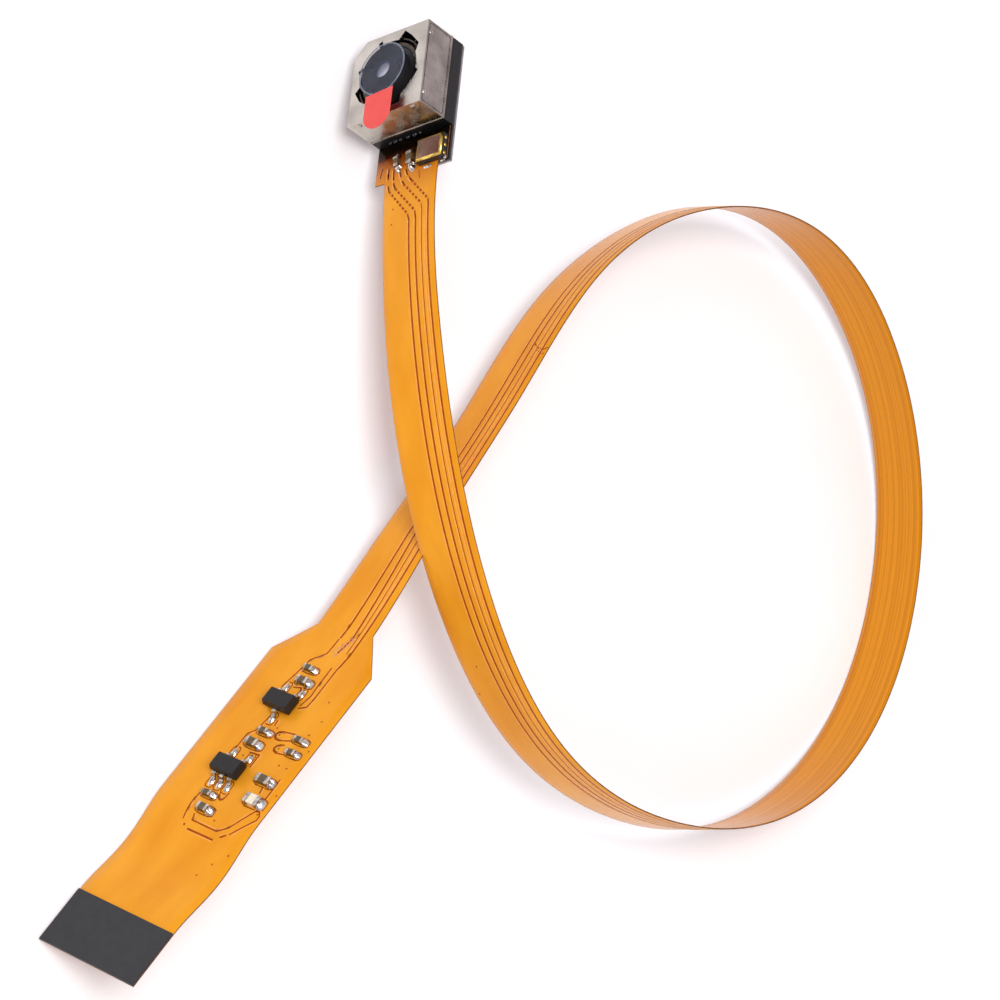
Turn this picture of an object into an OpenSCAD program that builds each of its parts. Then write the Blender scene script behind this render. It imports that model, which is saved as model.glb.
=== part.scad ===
// Autofocus camera module on a long flexible circuit.
// Millimetres. The head is drawn lens up, with the board's lower edge near y = 0 and the
// circuit leaving towards -y. place_head() then lays the whole part down as it rests:
// on one corner of the head, one edge of the loop and one edge of the tail.

/* [Shield can] */
// Side of the square can
can_w = 8.5; // [8:0.1:9.5]
// Height of the can
can_h = 3.3; // [3:0.05:3.6]
// Sheet thickness of the can
can_wall = 0.15; // [0.1:0.01:0.2]
// Radius of the round part of the opening
opening_r = 3.3; // [3.25:0.01:3.4]
// Chamfer of the can's orientation corner
key_chamfer = 1.3; // [0.8:0.1:1.6]

/* [Lens] */
// Radius of the barrel's threaded part
barrel_r = 2.75; // [2.6:0.05:2.8]
// Radius of the barrel's front
front_r = 2.35; // [2.2:0.05:2.5]
// How far the barrel's front stands above the can
front_rise = 0.8; // [0.6:0.05:1]
// Radius of the clear opening in the barrel's front
pupil_r = 0.85; // [0.6:0.05:1]
// Radius of the protective film
film_r = 2.65; // [2.5:0.05:2.8]
// Thickness of the film and of its tab
film_t = 0.05; // [0.03:0.01:0.1]
// Width of the red pull tab
tab_w = 3.1; // [2.5:0.1:3.5]
// Reach of the tab from the lens axis
tab_reach = 6.2; // [5:0.1:6.5]

/* [Focus actuator] */
// Radius of the lens carrier
carrier_r = 3.2; // [3.15:0.01:3.2]
// Radial thickness of the coil
coil_t = 0.33; // [0.2:0.01:0.36]
// Leg length of a corner magnet
magnet_leg = 2.4; // [1.8:0.1:2.5]
// Thickness of a leaf spring
spring_t = 0.04; // [0.03:0.01:0.05]

/* [Board] */
// Width of the board
board_w = 8.5; // [8.5:0.1:9.5]
// Thickness of the board
board_t = 0.26; // [0.2:0.01:0.3]
// Thickness of the steel plate behind the board
plate_t = 0.25; // [0.15:0.01:0.3]
// How far the board reaches below the circuit's start
board_drop = 0.8; // [0.6:0.1:1]
// Height of the sensor holder above the board
holder_h = 1; // [0.95:0.01:1.05]

/* [Flexible circuit] */
// Thickness of the circuit
flex_t = 0.12; // [0.08:0.01:0.16]
// Width of the long narrow stretch
ribbon_w = 6.2; // [6:0.1:6.3]
// Width of the tail
tail_w = 11.5; // [11.5:0.1:12]
// Length of the tail
tail_len = 33; // [32:0.5:36]
// Length of the stiffener at the tail's end
stiffener_len = 5.4; // [4.5:0.1:6]
// Thickness of the stiffener
stiffener_t = 0.16; // [0.1:0.01:0.25]

/* [Contacts] */
// Number of contact fingers
finger_count = 22; // [10:1:22]
// Distance between fingers
finger_pitch = 0.5; // [0.5:0.01:0.52]
// Length of a finger
finger_len = 4; // [3:0.1:4.5]

/* [Resting attitude] */
// Tilt of the lens above the horizontal, in degrees
lens_tilt = 18.36; // [0:0.01:40]
// Turn of the head about the lens axis, in degrees
head_roll = 104.36; // [80:0.01:110]

/* [Hidden] */
$fn = 64;

// Heights in the head, measured from the middle of the circuit's thickness.
axis_y = 7;
glue_gap = 0.02;
board_top = -flex_t / 2 - glue_gap;
board_back = board_top - board_t;
plate_inset = 0.05;
holder_top = board_top + holder_h;
rim_t = 0.25;
can_bottom = holder_top + rim_t;
can_top = can_bottom + can_h;
rim_top = can_bottom + 0.25;
front_top = can_top + front_rise;
can_in = can_w / 2 - can_wall;
fit_gap = 0.05;
carrier_bottom = rim_top + spring_t + 0.01;
carrier_top = can_top - can_wall - spring_t - 0.13;
barrel_bottom = carrier_bottom + 0.05;
barrel_shoulder = carrier_top;

// The circuit's route: one row every route_step along the circuit, from the board to the tail,
// each with the bend and the twist there in degrees for every 10 mm of length. A negative bend
// turns towards the circuit's back. Between rows both change evenly.
route_step = 14;
ROUTE = [
    [-14, 6], [-6, -5], [-9, 2], [-13, 6], [-25, 4], [-16, -1], [-24, 5], [-23, -1], [-16, -3],
    [-15, -2], [-19, 2], [-35, -7], [-22, 6], [-20, -9], [6, 2], [-4, -10], [15, -1]
];
ribbon_len = route_step * (len(ROUTE) - 1);
walk_step = 2;
walk_count = ribbon_len / walk_step;

// Bend and twist rates at a distance along the circuit.
function rates(s) =
    let (u = s / route_step, i = min(floor(u), len(ROUTE) - 2), f = u - i)
    ROUTE[i] * (1 - f) + ROUTE[i + 1] * f;

// One step along the circuit. A frame is [point, along, across, face normal].
function stride(frame, s) =
    let (
        turn = rates(s + walk_step / 2) * walk_step / 10,
        b = turn[0],
        t = turn[1],
        along = frame[1] * cos(b) + frame[3] * sin(b),
        lifted = frame[3] * cos(b) - frame[1] * sin(b),
        across = frame[2] * cos(t) + lifted * sin(t),
        normal = lifted * cos(t) - frame[2] * sin(t)
    )
    [frame[0] + (frame[1] + along) * walk_step / 2, along, across, normal];

START = [[0, 0, 0], [0, -1, 0], [1, 0, 0], [0, 0, 1]];
FRAMES = [for (i = 0, f = START; i <= walk_count; f = stride(f, i * walk_step), i = i + 1) f];

// Frame at any distance: straight where it is bonded to the board, and straight along the tail.
flat_len = 1.2;
function frame_at(s) =
    let (
        i = max(0, min(walk_count, floor(s / walk_step))),
        rest = s - i * walk_step,
        f = FRAMES[i],
        g = FRAMES[min(walk_count, i + 1)],
        k = i == walk_count || s <= flat_len ? 0 : rest / walk_step
    )
    [k == 0 ? f[0] + f[1] * rest : f[0] * (1 - k) + g[0] * k,
        unit(f[1] * (1 - k) + g[1] * k), unit(f[2] * (1 - k) + g[2] * k), unit(f[3] * (1 - k) + g[3] * k)];

function unit(v) = v / norm(v);

// Between its parts and its stiffener the tail bows gently towards its back.
tail_bow = 0.6;
bow_start = 16;
bow_len = tail_len - stiffener_len - bow_start;
function bow(s) =
    let (f = (s - ribbon_len - bow_start) / bow_len)
    f <= 0 || f >= 1 ? 0 : -tail_bow * (1 - cos(360 * f)) / 2;

// Outline of the circuit: [distance, reach to the left, reach to the right].
pad_l = 4.2;
pad_r = 4.1;
half = ribbon_w / 2;
tail_half = tail_w / 2;
shoulder = 3.7;
left_shift = 0.4;
right_shift = -0.2;
// Reach of one side where the narrow stretch widens into the tail.
function widening(s, shift) =
    let (f = (s - ribbon_len - shift) / shoulder + 1)
    half + (tail_half - half) * max(0, min(1, f));
TAIL_STOPS = [for (t = [right_shift - shoulder, left_shift - shoulder, right_shift - shoulder / 2, right_shift,
    left_shift]) ribbon_len + t];
OUTLINE = concat(
    [[-2.7, pad_l, pad_r], [0.6, pad_l, pad_r], [0.65, pad_l, half],
        [flat_len - 0.05, pad_l, half], [flat_len, half, half]],
    [for (s = [4 : 4 : ribbon_len - shoulder - 2]) [s, half, half]],
    [for (s = TAIL_STOPS) [s, widening(s, left_shift), widening(s, right_shift)]],
    [for (k = [0 : 8]) [ribbon_len + bow_start + bow_len * k / 8, tail_half, tail_half]],
    [[ribbon_len + tail_len, tail_half, tail_half]]
);

// Four corners of the circuit's section at one row of the outline.
function section(row) =
    let (
        f = frame_at(row[0]),
        middle = f[0] + f[3] * bow(row[0]),
        up = f[3] * flex_t / 2,
        left = middle - f[2] * row[1],
        right = middle + f[2] * row[2]
    )
    [left - up, right - up, right + up, left + up];

// The plate's far corner is the head's lowest point, so the lift follows from the attitude.
foot = [plate_inset - board_w / 2, axis_y + board_w / 2 - plate_inset, board_back - plate_t];
head_lift = -foot[2] * sin(lens_tilt) - (foot[0] * sin(head_roll) + foot[1] * cos(head_roll)) * cos(lens_tilt);
head_at = [5.1, 2.26, head_lift];

// Lays the drawn part down as it rests.
module place_head() {
    translate(head_at) rotate([-lens_tilt, 0, 0]) rotate([0, -head_roll, 0]) rotate([90, 0, 0]) children();
}

// Moves to the tail's own frame: x across, y towards the head, z out of the component side.
module place_tail() {
    f = frame_at(ribbon_len);
    place_head() multmatrix([
        [f[2][0], -f[1][0], f[3][0], f[0][0]],
        [f[2][1], -f[1][1], f[3][1], f[0][1]],
        [f[2][2], -f[1][2], f[3][2], f[0][2]]
    ]) translate([0, 0, flex_t / 2]) children();
}

// Moves to the lens axis at a height in the head.
module on_axis(z = 0) {
    place_head() translate([0, axis_y, z]) children();
}

module ring(outer, inner, height) {
    difference() {
        cylinder(r = outer, h = height);
        translate([0, 0, -1]) cylinder(r = inner, h = height + 2);
    }
}

// Square sheet with one chamfered corner.
module keyed_square(side, chamfer) {
    h = side / 2;
    polygon([[-h, -h], [h, -h], [h, h], [-h + chamfer, h], [-h, h - chamfer]]);
}

// ---------- shield can and actuator ----------

// Opening in the can's top: a circle with lobes for the springs and slots for the tool.
module can_opening() {
    circle(r = opening_r);
    polygon([[0.6, 2.9], [1.55, 3.95], [2.35, 3.25], [3.35, 2.1], [3, 1]]);
    polygon([[-2.6, -1.8], [-3.75, -0.95], [-3.1, -0.3]]);
    polygon([[-3.75, -0.95], [-3.1, -2], [-2.4, -2.5], [-2, -1.4], [-2.8, -0.4]]);
    polygon([[2.9, -1.8], [3.6, -0.8], [3, -0.2]]);
    translate([-1.15, 3.2]) rotate(20) square([0.45, 0.9], center = true);
    translate([-3.3, 1.25]) rotate(-60) square([0.4, 0.6], center = true);
    polygon([[-1.6, -2.5], [1.9, -2.5], [1.75, -3.6], [-1.6, -3.6]]);
}

module shield_can() {
    color("silver") on_axis(can_bottom) {
        difference() {
            linear_extrude(can_h) keyed_square(can_w, key_chamfer);
            translate([0, 0, -1]) linear_extrude(can_h - can_wall + 1)
                keyed_square(can_w - 2 * can_wall, key_chamfer - 0.09);
            translate([0, 0, can_h / 2]) linear_extrude(can_h) can_opening();
        }
        // Four press dimples on the side walls.
        for (side = [[0, 3.1], [0, -3.1]]) {
            translate([can_w / 2 - 0.02, side[1], can_h - 0.45]) rotate([0, 90, 0]) cylinder(r = 0.16, h = 0.1);
            translate([side[1], -can_w / 2 + 0.02, can_h - 0.45]) rotate([90, 0, 0]) cylinder(r = 0.16, h = 0.1);
        }
        // Thin foot where the sheet was cropped.
        difference() {
            linear_extrude(0.1) keyed_square(can_w + 0.12, key_chamfer);
            translate([0, 0, -1]) linear_extrude(3) keyed_square(can_w - 2 * can_wall, key_chamfer - 0.09);
        }
    }
}

module actuator_base() {
    light_r = 2.3;
    color("#1c1d20") on_axis(holder_top) difference() {
        union() {
            linear_extrude(rim_t) keyed_square(can_w, key_chamfer);
            linear_extrude(rim_top - holder_top) keyed_square(2 * (can_in - fit_gap), key_chamfer);
        }
        translate([0, 0, -1]) cylinder(r = light_r, h = 3);
    }
}

// Outline of one corner magnet; the can's chamfered corner needs a deeper cut.
function magnet_outline(corner, cut) =
    [[corner - cut, corner], [corner, corner - cut], [corner, corner - magnet_leg], [corner - magnet_leg, corner]];

module magnets() {
    corner = can_in - fit_gap;
    height = carrier_top - rim_top - 0.4;
    color("#5a5d63") on_axis(rim_top + spring_t) for (turn = [0, 90, 180, 270])
        rotate(turn) linear_extrude(height) polygon(magnet_outline(corner, turn == 90 ? key_chamfer : 0.3));
}

// Two strips that bring the coil's current down the far side of the can to the board.
module coil_terminals() {
    strip_w = 0.7;
    color("#c9a86a") for (x = [-1.6, 1.6]) on_axis(board_top)
        translate([x - strip_w / 2, can_w / 2 + fit_gap / 2, 0]) cube([strip_w, 0.1, holder_h + 0.1]);
}

// Flat spring: a band around the carrier, corner feet under the magnets and four curved arms.
module leaf_spring() {
    band_in = barrel_r + 0.12;
    band_out = carrier_r - 0.02;
    arm_w = 0.12;
    corner = can_in - fit_gap;
    strut_from = carrier_r + 0.3;
    strut_to = (2 * corner - magnet_leg) / sqrt(2) + 0.2;
    linear_extrude(spring_t) {
        difference() {
            circle(r = band_out);
            circle(r = band_in);
        }
        for (turn = [0, 90, 180, 270]) rotate(turn) {
            polygon(magnet_outline(corner, key_chamfer));
            intersection() {
                difference() {
                    circle(r = carrier_r + 0.4);
                    circle(r = carrier_r + 0.4 - arm_w);
                }
                square(corner);
            }
            rotate(45) translate([strut_from, -arm_w / 2]) square([strut_to - strut_from, arm_w]);
            translate([band_out - 0.05, 0]) square([0.4, arm_w]);
        }
    }
}

module lower_spring() {
    color("#b98a4c") on_axis(rim_top) leaf_spring();
}

module upper_spring() {
    color("#b98a4c") on_axis(carrier_top) leaf_spring();
}

module lens_carrier() {
    color("#26272b") on_axis(carrier_bottom) difference() {
        union() {
            cylinder(r = carrier_r, h = carrier_top - carrier_bottom);
            cylinder(r = carrier_r + coil_t, h = 0.35);
        }
        translate([0, 0, -1]) cylinder(r = barrel_r + fit_gap, h = 6);
    }
}

module focus_coil() {
    coil_h = 1.5;
    color("#b5622e") on_axis(carrier_bottom + 0.35) ring(carrier_r + coil_t, carrier_r, coil_h);
}

// ---------- lens ----------

// Heights of the seats inside the barrel, from its back, and of the lenses' rims.
rear_seat = 1.75;
middle_seat = 2.9;
front_seat = front_top - barrel_bottom - 0.2;
rear_rim = 0.6;
middle_rim = 0.5;
front_rim = 0.45;
rear_r = 2.2;
middle_r = 1.75;
front_lens_r = 1.25;

module lens_barrel() {
    barrel_h = front_top - barrel_bottom;
    color("#33363f") on_axis(barrel_bottom) difference() {
        union() {
            cylinder(r = barrel_r, h = barrel_shoulder - barrel_bottom);
            cylinder(r = front_r, h = barrel_h);
        }
        translate([0, 0, -1]) cylinder(r = rear_r, h = rear_seat + 1);
        cylinder(r = middle_r, h = middle_seat);
        cylinder(r = front_lens_r, h = front_seat);
        cylinder(r = pupil_r, h = barrel_h + 1);
    }
}

// Height of a spherical face of curve radius big_r at distance r from its top.
function sag(r, big_r) = big_r - sqrt(big_r * big_r - r * r);

// Moulded lens: a flat rim with two curved faces inside radius used_r.
module lens_element(rim_r, used_r, rim_h, front_curve, back_curve) {
    steps = 6;
    top = [for (i = [0 : steps]) let (r = used_r * i / steps)
        [r, rim_h + sign(front_curve) * (sag(used_r, abs(front_curve)) - sag(r, abs(front_curve)))]];
    bottom = [for (i = [steps : -1 : 0]) let (r = used_r * i / steps)
        [r, -sign(back_curve) * (sag(used_r, abs(back_curve)) - sag(r, abs(back_curve)))]];
    rotate_extrude() polygon(concat(top, [[rim_r, rim_h], [rim_r, 0]], bottom));
}

module front_lens() {
    color("#a9b4d0") on_axis(barrel_bottom + front_seat - front_rim)
        lens_element(front_lens_r, 0.8, front_rim, 2.6, 4);
}

module aperture_ring() {
    color("#101114") on_axis(barrel_bottom + middle_seat) ring(front_lens_r, 0.7, 0.06);
}

module middle_lens() {
    color("#b7c4c9") on_axis(barrel_bottom + middle_seat - middle_rim)
        lens_element(middle_r, 1.2, middle_rim, -5, 3.4);
}

module rear_lens() {
    color("#b7c4c9") on_axis(barrel_bottom + rear_seat - rear_rim)
        lens_element(rear_r, 1.7, rear_rim, 6, -7);
}

module lens_retainer() {
    color("#101114") on_axis(barrel_bottom) ring(rear_r, 1.7, rear_seat - rear_rim);
}

// Where the red tab starts, below the lens axis, how far it lies to one side, and how far the
// clear film's tongue reaches under it.
tab_start = 2.35;
tab_aside = 0.1;
tongue_under = 0.5;

module protective_film() {
    tongue = tab_start + tongue_under;
    color("#9aa3b5") on_axis(front_top) linear_extrude(film_t) {
        circle(r = film_r);
        translate([tab_aside - tab_w / 2, -tongue]) square([tab_w, tongue]);
    }
}

// Red tab: lies on the film's tongue, hangs over the can's lower edge and has a round end.
module pull_tab() {
    end_r = tab_w / 2;
    slant = 0.2;
    straight = tab_reach - end_r - tab_start;
    color("#f8605a") on_axis(front_top + film_t)
        translate([tab_aside, end_r - tab_reach, 0]) linear_extrude(film_t) {
            polygon([[-end_r, 0], [end_r, 0], [end_r, straight], [-end_r, straight - slant]]);
            circle(r = end_r);
        }
}

// ---------- board ----------

board_h = axis_y + board_w / 2 + board_drop;

module board_sheet(z, thickness, inset) {
    place_head() translate([-board_w / 2 + inset, -board_drop + inset, z])
        cube([board_w - 2 * inset, board_h - 2 * inset, thickness]);
}

module sensor_board() {
    color("#1b2022") board_sheet(board_back, board_t, 0);
}

module back_plate() {
    color("#b9bcc0") board_sheet(board_back - plate_t, plate_t, plate_inset);
}

filter_shelf = 0.62;

module sensor_holder() {
    cavity = [7, 6.9];
    window = [4.6, 3.8];
    pocket = [5.7, 4.7];
    color("#202327") on_axis(board_top) difference() {
        linear_extrude(holder_h) keyed_square(can_w, 0.3);
        translate([0, 0, -1]) linear_extrude(1.5) square(cavity, center = true);
        linear_extrude(2) square(window, center = true);
        translate([0, 0, filter_shelf]) linear_extrude(2) square(pocket, center = true);
    }
}

module ir_filter() {
    color("#7fa7c9") on_axis(board_top + filter_shelf) linear_extrude(0.21) square([5.6, 4.6], center = true);
}

module image_sensor() {
    color("#3d4a52") on_axis(board_top) translate([-2.55, -2.5, 0]) cube([5.1, 4.1, 0.3]);
}

module focus_driver() {
    color("#17181a") on_axis(board_top) translate([-0.8, 2.1, 0]) cube([1.6, 0.8, 0.3]);
}

// Crystal can at the board's lower right: ceramic body with a bevelled lid.
crystal_at = [2.5, 0.55];
crystal_size = [3, 2.35];
crystal_h = 0.6;

module crystal_body() {
    color("#5b5148") place_head() translate([crystal_at[0], crystal_at[1], flex_t / 2])
        linear_extrude(crystal_h) square(crystal_size, center = true);
}

module crystal_lid() {
    bevel = 0.14;
    lid = crystal_size - [0.12, 0.12];
    color("#d8b23c") place_head() translate([crystal_at[0], crystal_at[1], flex_t / 2 + crystal_h]) {
        linear_extrude(0.06) square(lid, center = true);
        hull() {
            linear_extrude(0.07) square(lid, center = true);
            linear_extrude(0.2) square(lid - 2 * [bevel, bevel], center = true);
        }
    }
}

// Small two-ended parts. Each row is [centre x, centre y, length, width, height, turn].
BOARD_CHIPS = [[-1.62, 0.5, 1, 0.5, 0.5, 100], [0, 0.42, 1.25, 0.62, 0.6, 97]];
TAIL_CHIPS = [
    [-0.5, 1.1, 1, 0.5, 0.5, 0], [-0.1, 2.45, 1.2, 0.65, 0.6, 2], [-0.15, 8.1, 1, 0.5, 0.5, 3],
    [-0.3, 9.5, 1.3, 0.7, 0.6, 0], [-0.85, 15.3, 1, 0.5, 0.5, 4], [-0.1, 16.65, 1.2, 0.65, 0.6, 0],
    [3.75, 7.65, 1, 0.5, 0.5, 0], [3.9, 9, 1, 0.5, 0.5, 4], [3.4, 12.25, 1.5, 0.75, 0.6, 0]
];
end_share = 0.25;

module at_chip(chip, down) {
    translate([chip[0], down * chip[1], 0]) rotate(chip[5]) children();
}

// The ceramic middle of a chip.
module chip_middle(chip) {
    size = [chip[2] * (1 - 2 * end_share), chip[3], chip[4]];
    translate([-size[0] / 2, -size[1] / 2, 0]) cube(size);
}

// The two plated ends of a chip, a little fuller than its middle.
module chip_ends(chip) {
    fuller = 0.02;
    length = chip[2] * end_share;
    for (side = [-1, 1]) translate([side * (chip[2] - length) / 2 - length / 2, -chip[3] / 2 - fuller, 0])
        cube([length, chip[3] + 2 * fuller, chip[4] + fuller]);
}

// Solder climbing each end of a chip: a wedge from the pad to half the chip's height.
module chip_solder(chip) {
    reach = 0.28;
    for (side = [0, 180]) rotate(side) translate([chip[2] / 2, chip[3] / 2, 0]) rotate([90, 0, 0])
        linear_extrude(chip[3]) polygon([[0, 0], [reach, 0], [reach, 0.05], [0.1, 0.16], [0, chip[4] * 0.7]]);
}

module board_chips() {
    color("#6a5f57") place_head() translate([0, 0, flex_t / 2]) for (chip = BOARD_CHIPS) at_chip(chip, 1) chip_middle(chip);
}

module board_chip_ends() {
    color("#d5d2cc") place_head() translate([0, 0, flex_t / 2]) for (chip = BOARD_CHIPS) at_chip(chip, 1) chip_ends(chip);
}

module board_solder() {
    color("#e6e4df") place_head() translate([0, 0, flex_t / 2]) {
        for (chip = BOARD_CHIPS) at_chip(chip, 1) chip_solder(chip);
        translate([1.4, -1.05, 0]) cube([1, 0.28, 0.08]);
    }
}

// Dots of black glue along the seam below the can.
module seam_glue() {
    DOTS = [[-2.6, 0.2], [-2, 0.26], [-1.4, 0.2], [-0.5, 0.24], [0.3, 0.28], [0.9, 0.2]];
    color("#0c0c0e") place_head() difference() {
        translate([0, axis_y - can_w / 2, 0.35]) for (dot = DOTS) translate([dot[0], 0, 0]) sphere(r = dot[1], $fn = 16);
        translate([-5, axis_y - can_w / 2, -1]) cube([10, 2, 3]);
    }
}

// ---------- circuit and tail ----------

// One closed sweep of the four-cornered section along the whole route.
module flex_circuit() {
    rings = [for (row = OUTLINE) section(row)];
    last = len(rings) - 1;
    points = [for (r = rings) each r];
    sides = [for (i = [0 : last - 1], k = [0 : 3]) let (a = 4 * i + k, b = 4 * i + (k + 1) % 4)
        each [[a, a + 4, b], [b, a + 4, b + 4]]];
    ends = [[0, 1, 2], [0, 2, 3], [4 * last, 4 * last + 2, 4 * last + 1], [4 * last, 4 * last + 3, 4 * last + 2]];
    color("#f0a030") place_head() polyhedron(points = points, faces = concat(sides, ends));
}

module tail_stiffener() {
    color("#3f4144") place_tail() translate([-tail_half, -tail_len, 0]) cube([tail_w, stiffener_len, stiffener_t]);
}

// Gold fingers on the face away from the parts.
module contact_fingers() {
    finger_w = 0.3;
    finger_t = 0.02;
    first = -finger_pitch * (finger_count - 1) / 2;
    color("#d9a93a") place_tail() for (i = [0 : finger_count - 1])
        translate([first + i * finger_pitch - finger_w / 2, -tail_len + 0.1, -flex_t - finger_t])
            cube([finger_w, finger_len, finger_t]);
}

// Regulators: [centre x, distance down the tail, x of the near leads, x of the far leads].
REGULATORS = [[-0.45, 5.1, [-0.95, 0.95], [0]], [-0.55, 12.48, [-0.95, 0.95], [-0.95, 0, 0.95]]];
regulator_size = [3, 1.7, 1.1];
lead_rise = 0.5;
lead_reach = 0.62;
pad_t = 0.04;

module regulator_bodies() {
    lift = 0.1;
    draft = 0.12;
    color("#1d1f22") place_tail() for (r = REGULATORS) translate([r[0], -r[1], lift]) hull() {
        for (z = [[0, draft], [lead_rise - lift, 0], [regulator_size[2] - lift - 0.01, draft]])
            translate([0, 0, z[0]]) linear_extrude(0.01)
                square([regulator_size[0] - 2 * z[1], regulator_size[1] - 2 * z[1]], center = true);
    }
}

// Gull-wing lead, drawn along +x from the body's side.
module gull_lead() {
    lead_w = 0.44;
    t = 0.13;
    knee = 0.18;
    heel = 0.3;
    translate([0, lead_w / 2, pad_t]) rotate([90, 0, 0]) linear_extrude(lead_w) polygon([
        [0, lead_rise - t], [knee, lead_rise - t], [heel, 0], [lead_reach, 0],
        [lead_reach, t], [heel + 0.08, t], [knee + 0.08, lead_rise], [0, lead_rise]
    ]);
}

module regulator_leads() {
    color("#d9d7d2") place_tail() for (r = REGULATORS) translate([r[0], -r[1], 0]) {
        for (x = r[2]) translate([x, regulator_size[1] / 2, 0]) rotate(90) gull_lead();
        for (x = r[3]) translate([x, -regulator_size[1] / 2, 0]) rotate(-90) gull_lead();
    }
}

module tail_chips() {
    color("#6a5f57") place_tail() for (chip = TAIL_CHIPS) at_chip(chip, -1) chip_middle(chip);
}

module tail_chip_ends() {
    color("#d5d2cc") place_tail() for (chip = TAIL_CHIPS) at_chip(chip, -1) chip_ends(chip);
}

CREAM_CHIP = [3.85, 14.3, 1.6, 0.95, 0.6, 0];

module cream_chip() {
    color("#efe9d8") place_tail() at_chip(CREAM_CHIP, -1) chip_middle(CREAM_CHIP);
}

module cream_chip_ends() {
    color("#d5d2cc") place_tail() at_chip(CREAM_CHIP, -1) chip_ends(CREAM_CHIP);
}

// Tinned pad under a lead's foot, drawn along +x like the lead.
module lead_pad() {
    pad = [0.95, 0.6];
    translate([lead_reach + 0.35 - pad[0], -pad[1] / 2, 0]) cube([pad[0], pad[1], pad_t]);
}

// Solder at every chip end and a tinned pad under every lead.
module tail_solder() {
    color("#e6e4df") place_tail() {
        for (chip = concat(TAIL_CHIPS, [CREAM_CHIP])) at_chip(chip, -1) chip_solder(chip);
        for (r = REGULATORS) translate([r[0], -r[1], 0]) {
            for (x = r[2]) translate([x, regulator_size[1] / 2, 0]) rotate(90) lead_pad();
            for (x = r[3]) translate([x, -regulator_size[1] / 2, 0]) rotate(-90) lead_pad();
        }
    }
}

shield_can();
actuator_base();
magnets();
coil_terminals();
lower_spring();
upper_spring();
lens_carrier();
focus_coil();
lens_barrel();
front_lens();
middle_lens();
rear_lens();
aperture_ring();
lens_retainer();
protective_film();
pull_tab();
sensor_holder();
ir_filter();
image_sensor();
focus_driver();
sensor_board();
back_plate();
crystal_body();
crystal_lid();
board_chips();
board_chip_ends();
board_solder();
seam_glue();
flex_circuit();
tail_stiffener();
contact_fingers();
regulator_bodies();
regulator_leads();
tail_chips();
tail_chip_ends();
tail_solder();
cream_chip();
cream_chip_ends();
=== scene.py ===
# %% [markdown]
# # Autofocus camera module on a looped flexible circuit
# A camera module is a tiny bright can with a lens, bonded to a small board. Its signals leave
# on a long amber circuit, which here lies in one loop and ends in a wide tail with its parts.
# The solids come from the CAD frame. Blender adds the circuit's printed look, solder and finishes.

# %% Load the frame
import math

import bmesh
import bpy
from mathutils import Matrix, Vector, noise


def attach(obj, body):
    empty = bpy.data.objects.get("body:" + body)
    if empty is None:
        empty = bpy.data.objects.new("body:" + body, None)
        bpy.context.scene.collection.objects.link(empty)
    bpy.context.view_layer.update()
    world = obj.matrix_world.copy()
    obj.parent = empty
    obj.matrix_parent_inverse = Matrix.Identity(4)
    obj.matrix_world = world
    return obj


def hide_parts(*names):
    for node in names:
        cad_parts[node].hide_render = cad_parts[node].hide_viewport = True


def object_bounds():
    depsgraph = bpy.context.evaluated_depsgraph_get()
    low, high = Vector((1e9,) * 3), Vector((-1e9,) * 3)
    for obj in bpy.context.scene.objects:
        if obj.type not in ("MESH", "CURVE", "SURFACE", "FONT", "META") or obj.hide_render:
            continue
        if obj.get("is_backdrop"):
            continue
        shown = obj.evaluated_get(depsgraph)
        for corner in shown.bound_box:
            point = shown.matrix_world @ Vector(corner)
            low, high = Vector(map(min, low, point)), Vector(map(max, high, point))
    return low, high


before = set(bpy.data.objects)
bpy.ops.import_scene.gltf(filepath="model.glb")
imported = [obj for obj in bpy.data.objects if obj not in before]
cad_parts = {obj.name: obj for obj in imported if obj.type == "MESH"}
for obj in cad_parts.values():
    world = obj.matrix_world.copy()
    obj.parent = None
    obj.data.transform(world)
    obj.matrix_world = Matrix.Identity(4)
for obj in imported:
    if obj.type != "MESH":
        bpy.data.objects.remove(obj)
CAD_BOX = [list(corner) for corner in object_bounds()]
mm = 0.001
print("CAD nodes:", len(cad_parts))
print("box in mm:", [[round(v / mm, 1) for v in corner] for corner in CAD_BOX])

# %% [markdown]
# ## Camera
# The camera looks down on the module from its right, and it is rolled, so that the head stands
# at the top of the picture and the tail at the lower left. A long lens keeps the head square.

# %% Camera
VIEW_CENTRE = Vector((30.06, 20.44, 6.17)) * mm
VIEW_DISTANCE = 272 * mm
VIEW_SIDE = 30.3
VIEW_ELEVATION = 59.69
VIEW_ROLL = 79.9
LENS_MM = 109.64
SENSOR_MM = 36

camera = bpy.data.objects.new("camera", bpy.data.cameras.new("camera"))
camera.data.sensor_width = SENSOR_MM
camera.data.lens = LENS_MM
aim = Matrix.Identity(4)
for axis, angle in (("Z", VIEW_SIDE), ("X", 90 - VIEW_ELEVATION), ("Z", VIEW_ROLL)):
    aim = aim @ Matrix.Rotation(math.radians(angle), 4, axis)
stand = VIEW_CENTRE + aim.to_3x3() @ Vector((0, 0, VIEW_DISTANCE))
camera.matrix_world = Matrix.Translation(stand) @ aim
bpy.context.scene.collection.objects.link(camera)
bpy.context.scene.camera = camera
print("camera at", [round(v / mm, 1) for v in camera.location], "mm")

# %% [markdown]
# ## The circuit's route
# A flat circuit bends about its own width and twists, but it can't bend sideways. So its route
# is a list of bends and twists, walked in short strides, and not a free curve. The list is the
# one that the CAD part is built from, and so are the angles that lay the part down.

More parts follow.
